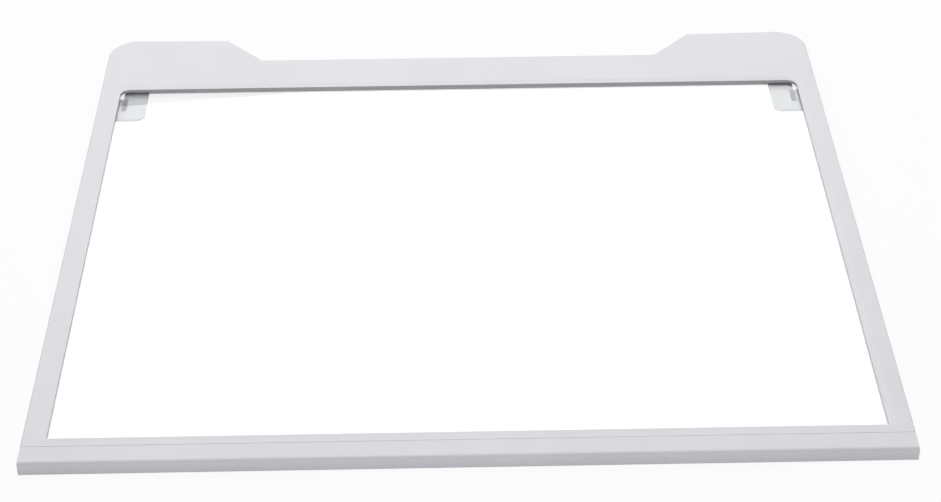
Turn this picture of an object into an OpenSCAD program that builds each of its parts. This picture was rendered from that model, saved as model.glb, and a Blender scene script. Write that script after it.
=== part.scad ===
// Refrigerator glass shelf: a tempered pane held in a one-piece moulded frame, with a front trim
// pushed over the frame's tongue. X runs across the shelf, Y from the front face to the rear and
// Z up. The origin lies on the surface the shelf stands on, below the middle of its outline.

/* [Shelf] */
// Overall width
shelf_w = 440; // [400:1:480]
// Overall depth, from the front face to the back of the ears
shelf_d = 410.8; // [360:0.1:440]
// Width of each side rail
side_rail = 12; // [11:0.1:16]
// Width of the frame's own strip behind the front trim
front_strip = 6.7; // [6.6:0.1:12]
// Depth of the rear rail between the ears
rear_rail = 32.6; // [28:0.1:45]

/* [Glass] */
// Thickness of the pane
glass_t = 3.2; // [3:0.1:5]
// How far the pane runs into each side rail
glass_side_in = 8.8; // [6:0.1:9.2]
// How far the pane runs into the rear rail
glass_rear_in = 10; // [7:0.5:14]
// How far the pane runs under the front strip
glass_front_in = 5; // [3:0.1:5]
// Radius of the pane's corners
glass_r = 8; // [3:0.5:14]
// Seam ground along the pane's edges
glass_seam = 0.5; // [0.2:0.1:1]

/* [Frame section] */
// Height of the lip above the glass
lip_t = 2.6; // [1.6:0.1:3]
// Thickness of the flange under the glass
flange_t = 1.5; // [1.5:0.1:3]
// How far the flange stands back from the lip's edge at the sides and the rear
flange_back = 3; // [1:0.1:3.5]
// Width of the bevel round the window
bevel_w = 3.7; // [2:0.1:4.5]
// Depth of the bevel at the window's edge
bevel_t = 0.7; // [0.4:0.1:1.2]
// Radius of the window's rear corners
window_r = 6; // [3:0.5:10]
// Radius of the window's front corners
window_front_r = 1; // [0.5:0.1:3]
// Rounding of the frame's outer edges
edge_r = 0.8; // [0.3:0.1:1.2]

/* [Ears] */
// How far the ears stand behind the rear rail
ear_d = 26.6; // [16:0.1:32]
// Width of each ear along its rear edge
ear_w = 74; // [50:1:90]
// Sideways run of each ear's slanted inner edge
ear_slant = 23; // [10:1:40]
// How much further back each ear's outer corner reaches than its inner one
ear_fall = 1.4; // [0:0.1:3]
// Radius of the ears' outer corners
ear_r = 18; // [8:1:24]

/* [Underside] */
// Thickness of the walls round the cored underside
wall_t = 2; // [1.6:0.1:3]
// Thickness of the top skin over the cored underside
skin_t = 2.2; // [1.6:0.1:3]
// Thickness of the ribs
rib_t = 1.4; // [1:0.1:2]
// Distance between the ribs
rib_pitch = 30; // [20:1:50]

/* [Corner pads] */
// How far each pad reaches inboard of the window's side edge
pad_w = 16.7; // [13:0.1:24]
// How far each pad reaches ahead of the window's rear edge
pad_d = 29.2; // [28:0.1:34]
// Radius of the pad's free corner
pad_r = 5; // [2:0.5:8]
// Height of the foot below the frame
foot_h = 8; // [5:0.5:9]
// Length of the foot's flat bottom
foot_l = 9.2; // [8:0.1:12]
// Slope of the foot's front face from the horizontal, in degrees
foot_slope = 48; // [45:1:70]
// Walls of the hollow foot
foot_wall = 1.6; // [1.2:0.1:2]
// How far the foot's outer face stands outboard of the window's side edge
foot_out = 0.2; // [0:0.1:1]
// How far the foot's back stands ahead of the window's rear edge
foot_ahead = 4.2; // [3:0.1:5]
// Width of the foot's hollow, which opens as a slot under the glass
slot_w = 3.5; // [2.5:0.1:4.5]
// Width of the window behind the foot
gate_w = 3.3; // [2:0.1:4]
// Length of the window behind the foot
gate_l = 11; // [6:0.5:13]
// How far the window reaches inboard of the slot's outer side
gate_lap = 0.7; // [0:0.1:1]

/* [Front trim] */
// Depth of the trim, from its front face to the groove
trim_d = 12.8; // [11:0.1:18]
// Width of the groove between the trim and the frame
groove_w = 0.2; // [0.1:0.05:0.6]
// Rounding of the trim's upper front edge
trim_r = 2.2; // [1:0.1:3]
// Rounding of the trim's lower front edge
trim_low_r = 0.8; // [0.3:0.1:1.5]
// How far each end of the trim stands back from the frame's side
trim_back = 0.3; // [0:0.1:1]
// Wall of the trim
trim_wall = 1.8; // [1.4:0.1:2]
// Clearance between the tongue and the trim
tongue_gap = 0.1; // [0.05:0.05:0.3]
// Room ahead of the tongue inside the trim
nose_room = 1.2; // [0.5:0.1:2]
// Height of the barb under the tongue
barb_h = 0.7; // [0.4:0.1:0.9]
// Length of the barb's flat
barb_flat = 1; // [0.5:0.1:2]
// Width of the catch inside the trim that the barb snaps behind
catch_w = 1.4; // [1:0.1:2]
// How far the catch lies from the trim's open edge
catch_in = 3.2; // [2.5:0.1:4]

/* [Hidden] */
$fn = 64;

white = [0.9, 0.9, 0.92];
clear = [0.85, 0.93, 0.9, 0.4];

// Clearance between the glass and the plastic above and below it, and round its edges
face_gap = 0.05;
edge_gap = 0.2;
// How much less a slanted edge is rounded, so that the rounding crosses its neighbours cleanly
hair = 0.002;
// How far a cutter runs past what it cuts
past = 1;

// Levels, from the surface that the feet stand on
z_under = foot_h;
z_flange = z_under + flange_t;
z_glass = z_flange + face_gap;
z_glass_top = z_glass + glass_t;
z_lip = z_glass_top + face_gap;
z_top = z_lip + lip_t;

// Lines across the shelf, from the front face to the rear
y_front = -shelf_d / 2;
y_seam = y_front + trim_d + groove_w;
y_window = y_seam + front_strip;
y_ear = shelf_d / 2;
y_rear = y_ear - ear_d;
y_window_rear = y_rear - rear_rail;
y_flange = y_window_rear + flange_back;
y_glass_front = y_window - glass_front_in;
y_glass_rear = y_window_rear + glass_rear_in;
y_cells = y_glass_rear + edge_gap + wall_t;

// Half widths
half_w = shelf_w / 2;
window_half = half_w - side_rail;
flange_half = window_half + flange_back;
glass_half = window_half + glass_side_in;
notch_half = half_w - ear_w - ear_slant;
trim_half = half_w - trim_back;

// The corner pad, the foot and the foot's hollow on the right
y_pad = y_window_rear - pad_d;
pad_inner = window_half - pad_w;
foot_outer = window_half + foot_out;
slot_outer = foot_outer - foot_wall;
slot_inner = slot_outer - slot_w;
foot_inner = slot_inner - foot_wall;
foot_back = y_window_rear - foot_ahead;
foot_front = foot_back - foot_l;

// The tongue and the catch, as distances from the front face and as levels
tongue_front = trim_wall + nose_room;
tongue_top = z_top - trim_wall - tongue_gap;
tongue_low = z_under + trim_wall + tongue_gap + barb_h;
catch_y = trim_d - catch_in;
catch_top = tongue_low - tongue_gap;
barb_y = catch_y - tongue_gap;

// Outlines are lists of [x, y, radius], counter-clockwise. They are the same on both sides of the
// middle, so their corners are drawn on the right and mirrored
function box_outline(half_x, y0, y1, r0, r1) =
    [[-half_x, y0, r0], [half_x, y0, r0], [half_x, y1, r1], [-half_x, y1, r1]];

body_outline = box_outline(half_w, y_seam, y_ear, edge_r, ear_r);
window_outline = box_outline(window_half, y_window, y_window_rear, window_front_r, window_r);
flange_outline = box_outline(flange_half, y_window, y_flange, window_front_r, window_r);
glass_outline = box_outline(glass_half, y_glass_front, y_glass_rear, glass_r, glass_r);
channel_outline = inset(glass_outline, -edge_gap);

// The path that the outer edges are rounded along: it leaves the front edge at the groove sharp
rounded_outline = box_outline(half_w, y_seam - 2 * past, y_ear, edge_r, ear_r);

// The notch between the ears, with the material on the left of the path, and where it opens behind
notch = [
    [half_w - ear_r, y_ear, 0], [half_w - ear_w, y_ear - ear_fall, 0], [notch_half, y_rear, 0],
    [-notch_half, y_rear, 0], [ear_w - half_w, y_ear - ear_fall, 0], [ear_r - half_w, y_ear, 0],
    [ear_r - half_w, y_ear + past, 0], [half_w - ear_r, y_ear + past, 0]
];

// Corner geometry of an outline
function xy(p) = [p[0], p[1]];
function unit(v) = v / norm(v);
function before(pts, i) = pts[(i + len(pts) - 1) % len(pts)];
function after(pts, i) = pts[(i + 1) % len(pts)];
function way_in(pts, i) = unit(xy(pts[i]) - xy(before(pts, i)));
function way_out(pts, i) = unit(xy(after(pts, i)) - xy(pts[i]));
function left_of(v) = [-v[1], v[0]];
function turn(pts, i) = let (u = way_in(pts, i), v = way_out(pts, i))
    atan2(u[0] * v[1] - u[1] * v[0], u * v);
function reach(pts, i) = pts[i][2] * tan(abs(turn(pts, i)) / 2);
function bend_start(pts, i) = xy(pts[i]) - way_in(pts, i) * reach(pts, i);
function bend_end(pts, i) = xy(pts[i]) + way_out(pts, i) * reach(pts, i);
function bend_centre(pts, i) =
    bend_start(pts, i) + left_of(way_in(pts, i)) * pts[i][2] * sign(turn(pts, i));
function angle_of(v) = atan2(v[1], v[0]);

// The same outline moved to its left, which is inwards, by d
function inset(pts, d) = [for (i = [0 : len(pts) - 1])
    let (m = left_of(way_in(pts, i)), n = left_of(way_out(pts, i)),
         q = xy(pts[i]) + d * (m + n) / (1 + m * n))
    [q[0], q[1], max(pts[i][2] - d, 0)]];

module both_sides() {
    children();
    mirror([1, 0, 0]) children();
}

// Draws what lies between corners i and j: once across the middle, or on the right and mirrored
module drawn(pts, i, j) {
    if (pts[i][0] > 0 && pts[j][0] > 0) both_sides() children();
    if (pts[i][0] * pts[j][0] < 0) children();
}

// A plate with true round corners, from z0 up to z1
module plate(pts, z0, z1) {
    translate([0, 0, z0]) {
        linear_extrude(z1 - z0)
            polygon([for (i = [0 : len(pts) - 1], p = [bend_start(pts, i), bend_end(pts, i)]) p]);
        for (i = [0 : len(pts) - 1]) if (pts[i][2] > 0)
            drawn(pts, i, i) bend(pts, i, 0) square([pts[i][2], z1 - z0]);
    }
}

// Carries a section straight from one point to another at height z: the section's x points to the
// right of the way and its y up
module run(from, to, z) {
    translate([to[0], to[1], z])
        rotate([90, 0, angle_of(-left_of(to - from))])
            linear_extrude(norm(to - from)) children();
}

// Turns a section round corner i at height z: the section's x is the distance from the bend's centre
module bend(pts, i, z) {
    c = bend_centre(pts, i);
    translate([c[0], c[1], z])
        rotate(angle_of(bend_start(pts, i) - c))
            rotate_extrude(angle = turn(pts, i)) children();
}

// Carries a section round an outline at height z: the section's x points outwards and its y up
module sweep(pts, z) {
    for (i = [0 : len(pts) - 1]) {
        j = (i + 1) % len(pts);
        drawn(pts, i, j) run(bend_end(pts, i), bend_start(pts, j), z) children();
        drawn(pts, i, i) bend(pts, i, z) translate([pts[i][2], 0]) children();
    }
}

// Draws a section along the front, out to a half width on each side: the section's x is the
// distance from the front face and its y the height
module along_front(half) {
    translate([half, y_front, 0]) rotate([90, 0, -90]) mirror([1, 0]) linear_extrude(2 * half) children();
}

// What is taken off a square corner to round it, up and to the right of the arc's centre
module round_corner(r, less = 0) {
    difference() {
        square(r + past / 2);
        circle(r + less);
    }
}

// What is taken off to round an upper outer edge
module edge_off(less = 0) {
    translate([-edge_r, -edge_r]) round_corner(edge_r, less);
}

// What is taken off to bevel the window's upper edge
module bevel_off() {
    polygon([[-past / 2, -bevel_t], [0, -bevel_t], [bevel_w, 0], [bevel_w, past], [-past / 2, past]]);
}

// What is ground off the pane's upper edge
module seam_off() {
    polygon([[-glass_seam, 0], [0, -glass_seam], [past, -glass_seam], [past, past], [-glass_seam, past]]);
}

module glass_panel() {
    color(clear)
        difference() {
            plate(glass_outline, z_glass, z_glass_top);
            sweep(glass_outline, z_glass_top) seam_off();
            sweep(glass_outline, z_glass) mirror([0, 1]) seam_off();
        }
}

// The frame's outline, moved inwards, from z0 up to z1
module frame_plate(inwards, z0, z1) {
    difference() {
        plate(inset(body_outline, inwards), z0, z1);
        translate([0, 0, z0 - past]) linear_extrude(z1 - z0 + 2 * past)
            polygon([for (p = inset(notch, inwards)) xy(p)]);
    }
}

// What is taken off to round the upper edges of the notch: the runs along each ear pass each other
// at the ear's tip, and a turn joins them to the rail's edge in the notch's corner
module notch_edge_off() {
    ear_back = xy(notch[0]);
    tip = xy(notch[1]);
    corner = xy(notch[2]);
    both_sides() {
        run(ear_back - past * way_out(notch, 0), tip + past * way_out(notch, 0), z_top) edge_off(hair);
        run(tip - past * way_out(notch, 1), corner, z_top) edge_off(hair);
        translate([corner[0], corner[1], z_top]) rotate(-90)
            rotate_extrude(angle = 2 * abs(turn(notch, 2)))
                intersection() {
                    mirror([1, 0]) edge_off();
                    translate([0, -past]) square([edge_r, 2 * past]);
                }
    }
    run(corner, xy(notch[3]), z_top) edge_off();
}

// The cells cored out of the frame's underside behind the glass, with ribs left between them
module underside_cells() {
    count = floor((half_w - wall_t) / rib_pitch);
    deep = y_ear - y_cells + 2 * past;
    difference() {
        intersection() {
            frame_plate(wall_t, z_under - past, z_top - skin_t);
            translate([-half_w, y_cells, 0]) cube([shelf_w, deep, z_top]);
        }
        for (i = [-count : count])
            translate([i * rib_pitch - rib_t / 2, y_cells - past, 0]) cube([rib_t, deep, z_top]);
        translate([-half_w, y_rear - wall_t, 0]) cube([shelf_w, rib_t, z_top]);
    }
}

// The frame's ring: lip, channel for the glass, flange and cored rear
module ring() {
    difference() {
        frame_plate(0, z_under, z_top);
        plate(channel_outline, z_flange, z_lip);
        plate(window_outline, z_flange, z_top + past);
        plate(flange_outline, z_under - past, z_lip);
        sweep(window_outline, z_top) bevel_off();
        sweep(rounded_outline, z_top) edge_off();
        notch_edge_off();
        underside_cells();
    }
}

// The tongue in front of the ring, with its barb
module tongue() {
    root = trim_d + groove_w + past;
    along_front(trim_half - trim_wall - tongue_gap)
        polygon([
            [tongue_front, tongue_low], [tongue_front, tongue_top], [root, tongue_top],
            [root, tongue_low], [barb_y, tongue_low], [barb_y, tongue_low - barb_h],
            [barb_y - barb_flat, tongue_low - barb_h]
        ]);
}

// The foot between two distances across the shelf, up to a level, with its faces moved inwards
module foot_block(x0, x1, z1, inwards) {
    lead = foot_front + inwards / sin(foot_slope);
    translate([x0, 0, 0]) rotate([90, 0, 90]) linear_extrude(x1 - x0)
        polygon([
            [lead - z1 / tan(foot_slope), z1], [lead - inwards / tan(foot_slope), inwards],
            [foot_back - inwards, inwards], [foot_back - inwards, z1]
        ]);
}

module pad() {
    along = y_flange + past - y_pad;
    across = flange_half + past - pad_inner;
    translate([pad_inner, y_pad, z_under]) {
        translate([pad_r, 0, 0]) cube([across - pad_r, along, flange_t]);
        translate([0, pad_r, 0]) cube([across, along - pad_r, flange_t]);
        translate([pad_r, pad_r, 0]) cylinder(flange_t, r = pad_r);
    }
    foot_block(foot_inner, foot_outer, z_under + flange_t / 2, 0);
}

// The foot's hollow, open at the top, and the window behind the foot
module pad_core() {
    foot_block(slot_inner, slot_outer, z_flange + face_gap, foot_wall);
    translate([slot_outer - gate_lap, foot_back - foot_wall, z_under])
        cube([gate_w, gate_l, flange_t + face_gap]);
}

module shelf_frame() {
    color(white)
        difference() {
            union() {
                ring();
                tongue();
                both_sides() pad();
            }
            both_sides() pad_core();
        }
}

module trim_section() {
    difference() {
        translate([0, z_under]) square([trim_d, z_top - z_under]);
        translate([trim_r, z_top - trim_r]) rotate(90) round_corner(trim_r);
        translate([trim_low_r, z_under + trim_low_r]) rotate(180) round_corner(trim_low_r);
    }
}

// The trim's hollow, with the catch left standing on its floor
module trim_hollow() {
    floor_z = z_under + trim_wall;
    difference() {
        translate([trim_wall, floor_z]) square([trim_d + past, z_top - z_under - 2 * trim_wall]);
        polygon([
            [catch_y, z_under], [catch_y, catch_top], [catch_y + catch_w / 2, catch_top],
            [catch_y + catch_w, floor_z], [catch_y + catch_w, z_under]
        ]);
    }
}

module front_trim() {
    color(white)
        difference() {
            along_front(trim_half) trim_section();
            along_front(trim_half - trim_wall) trim_hollow();
        }
}

glass_panel();
shelf_frame();
front_trim();
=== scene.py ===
"""Refrigerator glass shelf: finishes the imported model's pieces and sets the stage round them."""

from math import radians

import bmesh
import bpy
from bpy.props import FloatProperty, FloatVectorProperty, IntProperty, PointerProperty
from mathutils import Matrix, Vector


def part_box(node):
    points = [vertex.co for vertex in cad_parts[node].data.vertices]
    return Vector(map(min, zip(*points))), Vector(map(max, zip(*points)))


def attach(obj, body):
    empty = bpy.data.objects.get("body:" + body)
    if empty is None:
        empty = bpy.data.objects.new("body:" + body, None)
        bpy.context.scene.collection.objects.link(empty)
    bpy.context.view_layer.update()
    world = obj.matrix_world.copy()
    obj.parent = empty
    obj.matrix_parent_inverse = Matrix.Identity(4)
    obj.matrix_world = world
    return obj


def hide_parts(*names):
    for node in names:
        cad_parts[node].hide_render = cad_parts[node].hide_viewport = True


bl_info = {
    "name": "Refrigerator glass shelf",
    "version": (1, 0, 0),
    "blender": (4, 5, 0),
    "location": "3D View > Sidebar > Shelf",
    "description": "Finishes a refrigerator's glass shelf and sets the stage round it",
    "category": "Object",
}

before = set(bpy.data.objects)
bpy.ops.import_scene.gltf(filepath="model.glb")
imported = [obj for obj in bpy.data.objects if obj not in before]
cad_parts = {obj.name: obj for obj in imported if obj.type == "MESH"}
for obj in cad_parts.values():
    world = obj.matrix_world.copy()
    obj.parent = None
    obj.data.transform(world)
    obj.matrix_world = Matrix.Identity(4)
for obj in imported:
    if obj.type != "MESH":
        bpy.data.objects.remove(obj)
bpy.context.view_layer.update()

BODY = "root"
# How near to a level a vertex counts as lying on it
ON_LEVEL = 1e-5

pane_low, pane_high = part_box("glass_panel")
trim_low, trim_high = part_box("front_trim")
frame_low, frame_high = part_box("shelf_frame")

# Small scuffs from handling, as places on the frame's upper side, each with its radius
SCUFFS = [
    ((-0.1855, 0.1947), 0.0010),
    ((-0.1631, 0.1915), 0.0009),
    ((-0.1522, 0.1886), 0.0008),
    ((0.1420, 0.1589), 0.0008),
    ((0.1448, -0.1877), 0.0007),
    ((0.1337, -0.1973), 0.0006),
    ((0.1371, -0.1974), 0.0006),
]


class ShelfPane(bpy.types.PropertyGroup):
    """The tempered pane."""

    corner_radius: FloatProperty(
        name="Corner radius", description="Radius of the pane's corners", default=0.008, unit="LENGTH"
    )
    ground_edge: FloatProperty(
        name="Ground edge", description="Width ground off along the edges", default=0.0005, unit="LENGTH"
    )
    corner_steps: IntProperty(
        name="Corner steps", description="Steps in each round corner", default=16, min=2
    )
    tint: FloatVectorProperty(
        name="Tint", description="Colour that light keeps inside the glass",
        default=(0.5, 0.9, 0.75), subtype="COLOR",
    )
    tint_density: FloatProperty(
        name="Tint density", description="How quickly the glass takes on its tint, per metre", default=5.0
    )


class ShelfPlastic(bpy.types.PropertyGroup):
    """The moulded plastic of the frame and the trim."""

    frame_colour: FloatVectorProperty(
        name="Frame colour", description="Colour of the frame", default=(0.80, 0.79, 0.835), subtype="COLOR"
    )
    trim_colour: FloatVectorProperty(
        name="Trim colour", description="Colour of the front trim",
        default=(0.785, 0.78, 0.83), subtype="COLOR",
    )
    grain: FloatProperty(
        name="Grain", description="Depth of the mould's fine grain", default=0.00002, unit="LENGTH"
    )


class ShelfPinMarks(bpy.types.PropertyGroup):
    """The round marks that the mould's ejector pins leave under the frame."""

    radius: FloatProperty(name="Radius", description="Radius of a mark", default=0.002, unit="LENGTH")
    height: FloatProperty(
        name="Height", description="How far a mark stands proud", default=0.00008, unit="LENGTH"
    )
    inboard: FloatProperty(
        name="Inboard", description="From the frame's side to the marks' middle",
        default=0.0045, unit="LENGTH",
    )
    behind_trim: FloatProperty(
        name="Behind the trim", description="From the trim's rear to the front marks' middle",
        default=0.0036, unit="LENGTH",
    )
    count: IntProperty(name="Count", description="How many marks there are", default=26, min=4)


class ShelfStage(bpy.types.PropertyGroup):
    """The camera, the lights and the floor."""

    camera_place: FloatVectorProperty(
        name="Camera place", description="Where the camera stands",
        default=(-0.0098, -1.0208, 0.7136), subtype="TRANSLATION",
    )
    camera_turn: FloatVectorProperty(
        name="Camera turn", description="Which way the camera points",
        default=(radians(54.7642), radians(0.3777), radians(-1.0554)), subtype="EULER",
    )
    lens: FloatProperty(name="Lens", description="Focal length in millimetres on 36 mm", default=84.17)
    rear_power: FloatProperty(
        name="Rear light", description="Power of the light behind", default=20.5, unit="POWER"
    )
    top_power: FloatProperty(
        name="Top light", description="Power of the light above", default=9.5, unit="POWER"
    )
    front_power: FloatProperty(
        name="Front light", description="Power of the low light in front", default=1.3, unit="POWER"
    )
    fill: FloatProperty(name="Fill", description="Strength of the even light all round", default=0.2)
    floor_colour: FloatVectorProperty(
        name="Floor colour", description="Colour of the floor", default=(0.93, 0.93, 0.93), subtype="COLOR"
    )
    floor_lift: FloatProperty(
        name="Floor lift", description="How far the camera sees the floor as white", default=0.92,
        min=0, max=1, subtype="FACTOR",
    )
    floor_size: FloatProperty(
        name="Floor size", description="Half the length of the floor's sides", default=3.0, unit="LENGTH"
    )


def add(tree, kind, settings=None, inputs=None):
    """Adds a node, with its settings and with its inputs linked or set, by name or by number."""
    node = tree.nodes.new(kind)
    for name, value in (settings or {}).items():
        setattr(node, name, value)
    for name, value in (inputs or {}).items():
        if isinstance(value, bpy.types.NodeSocket):
            tree.links.new(value, node.inputs[name])
        else:
            node.inputs[name].default_value = value
    return node


def maths(tree, operation, first, second=0.0):
    return add(tree, "ShaderNodeMath", {"operation": operation}, {0: first, 1: second}).outputs[0]


def vectors(tree, operation, first, second):
    return add(tree, "ShaderNodeVectorMath", {"operation": operation}, {0: first, 1: second}).outputs[0]


def material(name):
    """An empty material's tree and its output node."""
    made = bpy.data.materials.new(name)
    made.use_nodes = True
    made.node_tree.nodes.clear()
    return made, made.node_tree, add(made.node_tree, "ShaderNodeOutputMaterial")


def noise(tree, place, scale, detail=2.0):
    settings = {"Vector": place, "Scale": scale, "Detail": detail}
    return add(tree, "ShaderNodeTexNoise", None, settings).outputs[0]


def between(tree, factor, low, high, floor=0.0, ceiling=1.0):
    """Carries a factor from low to high over to floor to ceiling."""
    inputs = {0: factor, 1: low, 2: high, 3: floor, 4: ceiling}
    return add(tree, "ShaderNodeMapRange", None, inputs).outputs[0]


def scuff_mask(tree, place):
    """How strongly the scuffs mark each place, from 0 to 1."""
    flat = vectors(tree, "MULTIPLY", place, (1, 1, 0))
    mask = None
    for (x, y), radius in SCUFFS:
        reach = add(tree, "ShaderNodeVectorMath", {"operation": "DISTANCE"}, {0: flat, 1: (x, y, 0)})
        spot = between(tree, reach.outputs["Value"], radius, radius / 3)
        mask = spot if mask is None else maths(tree, "MAXIMUM", mask, spot)
    return mask


def moulded_plastic(name, colour, grain, scuffed):
    """Satin plastic from a grained mould: faint clouds of colour, dust, and scuffs where it is scuffed."""
    made, tree, output = material(name)
    place = add(tree, "ShaderNodeTexCoord").outputs["Object"]
    clouds = between(tree, noise(tree, place, 18.0), 0.35, 0.65)
    speckle = add(tree, "ShaderNodeTexVoronoi", None, {"Vector": place, "Scale": 160.0})
    chosen = maths(tree, "LESS_THAN", speckle.outputs["Color"], 0.06)
    dust = maths(tree, "MULTIPLY", chosen, between(tree, speckle.outputs["Distance"], 0.09, 0.03))
    marks = maths(tree, "MULTIPLY", dust, 0.35)
    if scuffed:
        marks = maths(tree, "MAXIMUM", marks, maths(tree, "MULTIPLY", scuff_mask(tree, place), 0.3))
    bright = (*colour, 1)
    dull = (*(0.975 * part for part in colour), 1)
    marked = (*(0.55 * part for part in colour), 1)
    shades = add(tree, "ShaderNodeMix", {"data_type": "RGBA"}, {0: clouds, 6: dull, 7: bright}).outputs[2]
    colours = add(tree, "ShaderNodeMix", {"data_type": "RGBA"}, {0: marks, 6: shades, 7: marked}).outputs[2]
    bump = add(tree, "ShaderNodeBump", None, {
        "Strength": 0.3, "Distance": grain, "Height": noise(tree, place, 1500.0),
    }).outputs["Normal"]
    shader = add(tree, "ShaderNodeBsdfPrincipled", None, {
        "Base Color": colours, "Roughness": between(tree, noise(tree, place, 70.0), 0.3, 0.7, 0.36, 0.44),
        "IOR": 1.5, "Normal": bump,
    })
    tree.links.new(shader.outputs[0], output.inputs["Surface"])
    return made


def tempered_glass(name, pane, roughness):
    """Green-tinted glass, which lets the lamps' light through to the floor."""
    made, tree, output = material(name)
    shader = add(tree, "ShaderNodeBsdfPrincipled", None, {
        "Base Color": (1, 1, 1, 1), "Roughness": roughness, "IOR": 1.52, "Transmission Weight": 1.0,
    })
    lamps = add(tree, "ShaderNodeBsdfTransparent", None, {"Color": (0.82, 0.84, 0.83, 1)})
    shadow = add(tree, "ShaderNodeLightPath").outputs["Is Shadow Ray"]
    mix = add(tree, "ShaderNodeMixShader", None, {0: shadow, 1: shader.outputs[0], 2: lamps.outputs[0]})
    depth = add(tree, "ShaderNodeVolumeAbsorption", None, {
        "Color": (*pane.tint, 1), "Density": pane.tint_density,
    })
    tree.links.new(mix.outputs[0], output.inputs["Surface"])
    tree.links.new(depth.outputs[0], output.inputs["Volume"])
    return made


def geometry_tree(name, inputs):
    """A node tree with named inputs: the tree, the inputs' sockets by name, and its output node."""
    tree = bpy.data.node_groups.new(name, "GeometryNodeTree")
    for label, kind in inputs.items():
        tree.interface.new_socket(label, in_out="INPUT", socket_type="NodeSocket" + kind)
    tree.interface.new_socket("Geometry", in_out="OUTPUT", socket_type="NodeSocketGeometry")
    return tree, tree.nodes.new("NodeGroupInput").outputs, tree.nodes.new("NodeGroupOutput")


def grown(name, tree, values):
    """The plain mesh object that a node tree makes from these values."""
    holder = bpy.data.objects.new(tree.name, bpy.data.meshes.new(tree.name))
    bpy.context.scene.collection.objects.link(holder)
    modifier = holder.modifiers.new(tree.name, "NODES")
    modifier.node_group = tree
    for item in tree.interface.items_tree:
        if item.in_out == "INPUT":
            modifier[item.identifier] = values[item.name]
    evaluated = holder.evaluated_get(bpy.context.evaluated_depsgraph_get())
    mesh = bpy.data.meshes.new_from_object(evaluated)
    bpy.data.objects.remove(holder)
    if not mesh.polygons:
        raise RuntimeError(f"the tree {tree.name} made no faces for {name}")
    if mesh.materials[0] is None:
        mesh.materials.pop(index=0)
    shell = bmesh.new()
    shell.from_mesh(mesh)
    bmesh.ops.recalc_face_normals(shell, faces=shell.faces)
    shell.to_mesh(mesh)
    shell.free()
    mesh.shade_smooth()
    mesh.set_sharp_from_angle(angle=radians(30))
    piece = bpy.data.objects.new(name, mesh)
    bpy.context.scene.collection.objects.link(piece)
    return piece


def combine(tree, x, y, z):
    return add(tree, "ShaderNodeCombineXYZ", None, {0: x, 1: y, 2: z}).outputs[0]


def drawn_up(tree, mesh, top, height):
    """Draws a mesh's top faces up by a height: the mesh, and its new top."""
    inputs = {"Mesh": mesh, "Offset": combine(tree, 0.0, 0.0, height), "Individual": False}
    if top is not None:
        inputs["Selection"] = top
    drawn = add(tree, "GeometryNodeExtrudeMesh", {"mode": "FACES"}, inputs)
    return drawn.outputs["Mesh"], drawn.outputs["Top"]


def with_base(tree, drawn, base):
    """A drawn-up mesh with its base put back, so that it is closed."""
    turned = add(tree, "GeometryNodeFlipFaces", None, {"Mesh": base}).outputs[0]
    joined = add(tree, "GeometryNodeJoinGeometry")
    tree.links.new(turned, joined.inputs[0])
    tree.links.new(drawn, joined.inputs[0])
    merged = {"Geometry": joined.outputs[0], "Distance": ON_LEVEL}
    return add(tree, "GeometryNodeMergeByDistance", None, merged).outputs[0]


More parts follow.
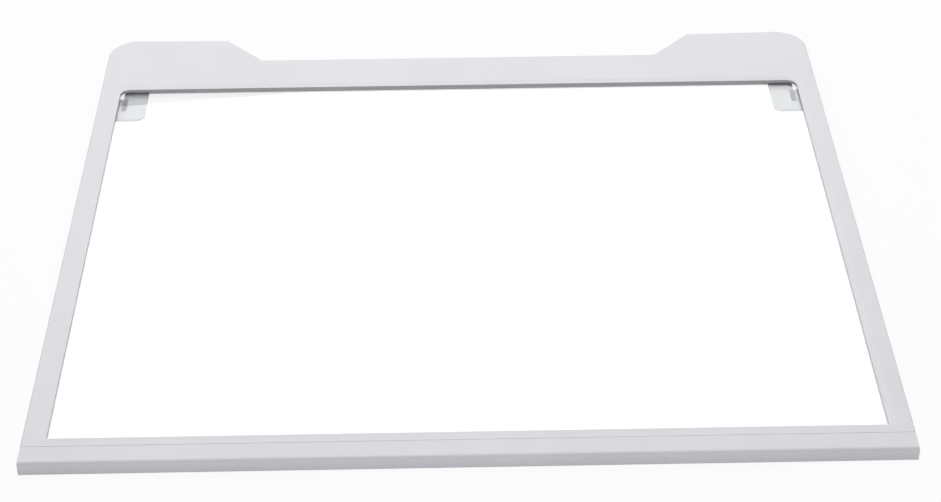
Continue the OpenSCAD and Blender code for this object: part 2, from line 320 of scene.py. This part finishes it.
def pane_tree():
    """A pane with round corners and ground edges, drawn up ring by ring from its underside."""
    tree, given, output = geometry_tree("Ground pane", {
        "Width": "Float", "Depth": "Float", "Thickness": "Float", "Corner radius": "Float",
        "Ground edge": "Float", "Corner steps": "Int", "Middle": "Vector", "Glass": "Material",
        "Ground": "Material",
    })
    ground, radius = given["Ground edge"], given["Corner radius"]
    inner_radius = maths(tree, "SUBTRACT", radius, ground)
    both_grounds = maths(tree, "MULTIPLY", ground, 2.0)
    outline = add(tree, "GeometryNodeCurvePrimitiveQuadrilateral", None, {
        "Width": maths(tree, "SUBTRACT", given["Width"], both_grounds),
        "Height": maths(tree, "SUBTRACT", given["Depth"], both_grounds),
    }).outputs[0]
    rounded = add(tree, "GeometryNodeFilletCurve", {"mode": "POLY"}, {
        "Curve": outline, "Count": given["Corner steps"], "Radius": inner_radius,
    }).outputs[0]
    under = add(tree, "GeometryNodeFillCurve", {"mode": "NGONS"}, {"Curve": rounded}).outputs[0]
    corner = combine(
        tree,
        maths(tree, "SUBTRACT", maths(tree, "MULTIPLY", given["Width"], 0.5), radius),
        maths(tree, "SUBTRACT", maths(tree, "MULTIPLY", given["Depth"], 0.5), radius),
        1.0,
    )
    opposite = vectors(tree, "MULTIPLY", corner, (-1, -1, -1))
    place = add(tree, "GeometryNodeInputPosition").outputs[0]
    centre = vectors(tree, "MINIMUM", vectors(tree, "MAXIMUM", place, opposite), corner)
    from_centre = vectors(tree, "SUBTRACT", place, centre)

    def spread(mesh, top, ratio):
        """The mesh with its top's outline spread from the corners' centres by a ratio."""
        scaled = add(tree, "ShaderNodeVectorMath", {"operation": "SCALE"}, {0: from_centre, "Scale": ratio})
        return add(tree, "GeometryNodeSetPosition", None, {
            "Geometry": mesh, "Selection": top,
            "Position": vectors(tree, "ADD", centre, scaled.outputs[0]),
        }).outputs[0]

    straight = maths(tree, "SUBTRACT", given["Thickness"], both_grounds)
    mesh, top = drawn_up(tree, under, None, ground)
    mesh = spread(mesh, top, maths(tree, "DIVIDE", radius, inner_radius))
    mesh, top = drawn_up(tree, mesh, top, straight)
    mesh, top = drawn_up(tree, mesh, top, ground)
    mesh = spread(mesh, top, maths(tree, "DIVIDE", inner_radius, radius))
    placed = add(tree, "GeometryNodeTransform", None, {
        "Geometry": with_base(tree, mesh, under), "Translation": given["Middle"],
    }).outputs[0]
    real = add(tree, "GeometryNodeRealizeInstances", None, {"Geometry": placed}).outputs[0]
    clear = add(tree, "GeometryNodeSetMaterial", None, {"Geometry": real, "Material": given["Glass"]})
    facing = add(tree, "GeometryNodeInputNormal").outputs[0]
    upright = add(tree, "ShaderNodeSeparateXYZ", None, {0: facing}).outputs[2]
    at_edge = add(tree, "FunctionNodeCompare", {"data_type": "FLOAT", "operation": "LESS_THAN"}, {
        0: maths(tree, "ABSOLUTE", upright), 1: 0.9,
    }).outputs[0]
    edged = add(tree, "GeometryNodeSetMaterial", None, {
        "Geometry": clear.outputs[0], "Selection": at_edge, "Material": given["Ground"],
    }).outputs[0]
    tree.links.new(edged, output.inputs[0])
    return tree


def pin_mark_tree():
    """Low round marks set evenly along a rectangle, facing down, each with a shallow dish in it."""
    tree, given, output = geometry_tree("Pin marks", {
        "Width": "Float", "Depth": "Float", "Middle": "Vector", "Count": "Int", "Radius": "Float",
        "Height": "Float", "Material": "Material",
    })
    path = add(tree, "GeometryNodeCurvePrimitiveQuadrilateral", None, {
        "Width": given["Width"], "Height": given["Depth"],
    }).outputs[0]
    points = add(tree, "GeometryNodeCurveToPoints", {"mode": "COUNT"}, {
        "Curve": path, "Count": given["Count"],
    })
    disc = add(tree, "GeometryNodeMeshCircle", {"fill_type": "NGON"}, {
        "Vertices": 24, "Radius": given["Radius"],
    }).outputs[0]
    mesh, top = disc, None
    for rise, narrowed in ((-1.0, 0.95), (0.0, 0.7), (0.5, 1.0)):
        mesh, top = drawn_up(tree, mesh, top, maths(tree, "MULTIPLY", given["Height"], rise))
        inputs = {"Geometry": mesh, "Selection": top, "Scale": narrowed}
        mesh = add(tree, "GeometryNodeScaleElements", None, inputs).outputs[0]
    set_out = add(tree, "GeometryNodeInstanceOnPoints", None, {
        "Points": points.outputs[0], "Instance": with_base(tree, mesh, disc),
    })
    placed = add(tree, "GeometryNodeTransform", None, {
        "Geometry": set_out.outputs[0], "Translation": given["Middle"],
    }).outputs[0]
    real = add(tree, "GeometryNodeRealizeInstances", None, {"Geometry": placed}).outputs[0]
    done = add(tree, "GeometryNodeSetMaterial", None, {"Geometry": real, "Material": given["Material"]})
    tree.links.new(done.outputs[0], output.inputs[0])
    return tree


class SHELF_OT_pane(bpy.types.Operator):
    """Make the tempered pane with its ground edges."""

    bl_idname = "shelf.pane"
    bl_label = "Tempered pane"

    def execute(self, context):
        pane = context.scene.shelf_pane
        size = pane_high - pane_low
        middle = (pane_low + pane_high) / 2
        piece = grown("pane", pane_tree(), {
            "Width": size.x, "Depth": size.y, "Thickness": size.z, "Corner radius": pane.corner_radius,
            "Ground edge": pane.ground_edge, "Corner steps": pane.corner_steps,
            "Middle": (middle.x, middle.y, pane_low.z),
            "Glass": tempered_glass("Tempered glass", pane, 0.0),
            "Ground": tempered_glass("Ground glass edge", pane, 0.35),
        })
        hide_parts("glass_panel")
        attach(piece, BODY)
        return {"FINISHED"}


class SHELF_OT_frame(bpy.types.Operator):
    """Finish the moulded frame, and the marks of the ejector pins under it."""

    bl_idname = "shelf.frame"
    bl_label = "Moulded frame"

    def execute(self, context):
        plastic, marks = context.scene.shelf_plastic, context.scene.shelf_pin_marks
        finish = moulded_plastic("Moulded frame", plastic.frame_colour, plastic.grain, True)
        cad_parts["shelf_frame"].material_slots[0].material = finish
        rear = pane_high.y - marks.inboard / 2
        front = trim_high.y + marks.behind_trim
        piece = grown("ejector_marks", pin_mark_tree(), {
            "Width": frame_high.x - frame_low.x - 2 * marks.inboard, "Depth": rear - front,
            "Middle": (0.0, (rear + front) / 2, trim_low.z), "Count": marks.count,
            "Radius": marks.radius, "Height": marks.height, "Material": finish,
        })
        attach(piece, BODY)
        return {"FINISHED"}


class SHELF_OT_trim(bpy.types.Operator):
    """Finish the front trim."""

    bl_idname = "shelf.trim"
    bl_label = "Front trim"

    def execute(self, context):
        plastic = context.scene.shelf_plastic
        finish = moulded_plastic("Front trim", plastic.trim_colour, plastic.grain, True)
        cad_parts["front_trim"].material_slots[0].material = finish
        return {"FINISHED"}


def seen_directly(tree):
    """1 for rays from the camera and for those that gloss or glass passes on from it, or else 0."""
    path = add(tree, "ShaderNodeLightPath").outputs
    passed_on = maths(tree, "MAXIMUM", path["Is Glossy Ray"], path["Is Transmission Ray"])
    seen = maths(tree, "MAXIMUM", path["Is Camera Ray"], passed_on)
    return maths(tree, "MULTIPLY", seen, maths(tree, "LESS_THAN", path["Diffuse Depth"], 0.5))


def lowest_front(node):
    """The frontmost of a node's lowest points."""
    low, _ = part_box(node)
    points = [v.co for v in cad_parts[node].data.vertices]
    return min((p for p in points if p.z < low.z + ON_LEVEL), key=lambda p: p.y)


def make_floor(stage):
    """A floor that the feet and the trim's lower edge both rest on."""
    foot, edge = lowest_front("shelf_frame"), lowest_front("front_trim")
    slope = (edge.z - foot.z) / (edge.y - foot.y)
    half = stage.floor_size
    corners = [(x * half, y * half) for x, y in ((-1, -1), (1, -1), (1, 1), (-1, 1))]
    mesh = bpy.data.meshes.new("stage_floor")
    mesh.from_pydata([(x, y, foot.z + slope * (y - foot.y)) for x, y in corners], [], [(0, 1, 2, 3)])
    made, tree, output = material("Stage floor")
    diffuse = add(tree, "ShaderNodeBsdfDiffuse", None, {"Color": (*stage.floor_colour, 1)})
    glow = add(tree, "ShaderNodeEmission", None, {"Color": (1, 1, 1, 1), "Strength": 1.0})
    lift = maths(tree, "MULTIPLY", seen_directly(tree), stage.floor_lift)
    mix = add(tree, "ShaderNodeMixShader", None, {0: lift, 1: diffuse.outputs[0], 2: glow.outputs[0]})
    tree.links.new(mix.outputs[0], output.inputs["Surface"])
    mesh.materials.append(made)
    floor = bpy.data.objects.new("stage_floor", mesh)
    bpy.context.scene.collection.objects.link(floor)


def make_world(stage):
    """A world that shows white and lights the shelf only faintly."""
    world = bpy.data.worlds.new("Studio")
    world.use_nodes = True
    tree = world.node_tree
    tree.nodes.clear()
    dim = add(tree, "ShaderNodeBackground", None, {"Color": (1, 1, 1, 1), "Strength": stage.fill})
    white = add(tree, "ShaderNodeBackground", None, {"Color": (1, 1, 1, 1), "Strength": 1.0})
    mix = add(tree, "ShaderNodeMixShader", None, {
        0: seen_directly(tree), 1: dim.outputs[0], 2: white.outputs[0],
    })
    output = add(tree, "ShaderNodeOutputWorld")
    tree.links.new(mix.outputs[0], output.inputs["Surface"])
    bpy.context.scene.world = world


def make_light(name, power, place, width, depth):
    """A soft light that points at the middle of the shelf, and that shines through glass only once."""
    lamp = bpy.data.lights.new(name, "AREA")
    lamp.shape = "RECTANGLE"
    lamp.size = width
    lamp.size_y = depth
    lamp.energy = power
    light = bpy.data.objects.new(name, lamp)
    light.location = place
    light.rotation_euler = (-Vector(place)).to_track_quat("-Z", "Y").to_euler()
    light.visible_transmission = False
    bpy.context.scene.collection.objects.link(light)


class SHELF_OT_stage(bpy.types.Operator):
    """Set up the camera, the lights, the world and the floor."""

    bl_idname = "shelf.stage"
    bl_label = "Stage"

    def execute(self, context):
        stage = context.scene.shelf_stage
        camera = bpy.data.objects.new("camera", bpy.data.cameras.new("camera"))
        camera.data.sensor_width = 36.0
        camera.data.lens = stage.lens
        camera.location = stage.camera_place
        camera.rotation_euler = stage.camera_turn
        context.scene.collection.objects.link(camera)
        context.scene.camera = camera
        context.scene.view_settings.view_transform = "Standard"
        make_floor(stage)
        make_world(stage)
        make_light("rear_light", stage.rear_power, (-0.15, 1.25, 1.35), 2.2, 1.2)
        make_light("top_light", stage.top_power, (0.0, 0.1, 1.8), 1.6, 1.6)
        make_light("front_light", stage.front_power, (0.0, -0.95, 0.14), 0.7, 0.25)
        return {"FINISHED"}


class SHELF_PT_build(bpy.types.Panel):
    """The shelf's steps, in the order that they are made."""

    bl_label = "Glass shelf"
    bl_idname = "SHELF_PT_build"
    bl_space_type = "VIEW_3D"
    bl_region_type = "UI"
    bl_category = "Shelf"

    def draw(self, context):
        for step in STEPS:
            self.layout.operator(step.bl_idname)
        for group in GROUPS:
            box = self.layout.box()
            settings = getattr(context.scene, group)
            for name in settings.bl_rna.properties.keys():
                if name not in ("rna_type", "name"):
                    box.prop(settings, name)


STEPS = (SHELF_OT_stage, SHELF_OT_pane, SHELF_OT_frame, SHELF_OT_trim)
GROUPS = {
    "shelf_pane": ShelfPane,
    "shelf_plastic": ShelfPlastic,
    "shelf_pin_marks": ShelfPinMarks,
    "shelf_stage": ShelfStage,
}


def register():
    for name, group in GROUPS.items():
        bpy.utils.register_class(group)
        setattr(bpy.types.Scene, name, PointerProperty(type=group))
    for piece in (*STEPS, SHELF_PT_build):
        bpy.utils.register_class(piece)


def unregister():
    for piece in (SHELF_PT_build, *reversed(STEPS)):
        bpy.utils.unregister_class(piece)
    for name, group in reversed(GROUPS.items()):
        delattr(bpy.types.Scene, name)
        bpy.utils.unregister_class(group)


def main():
    register()
    bpy.ops.shelf.stage()
    bpy.ops.shelf.pane()
    bpy.ops.shelf.frame()
    bpy.ops.shelf.trim()


if __name__ == "__main__":
    main()
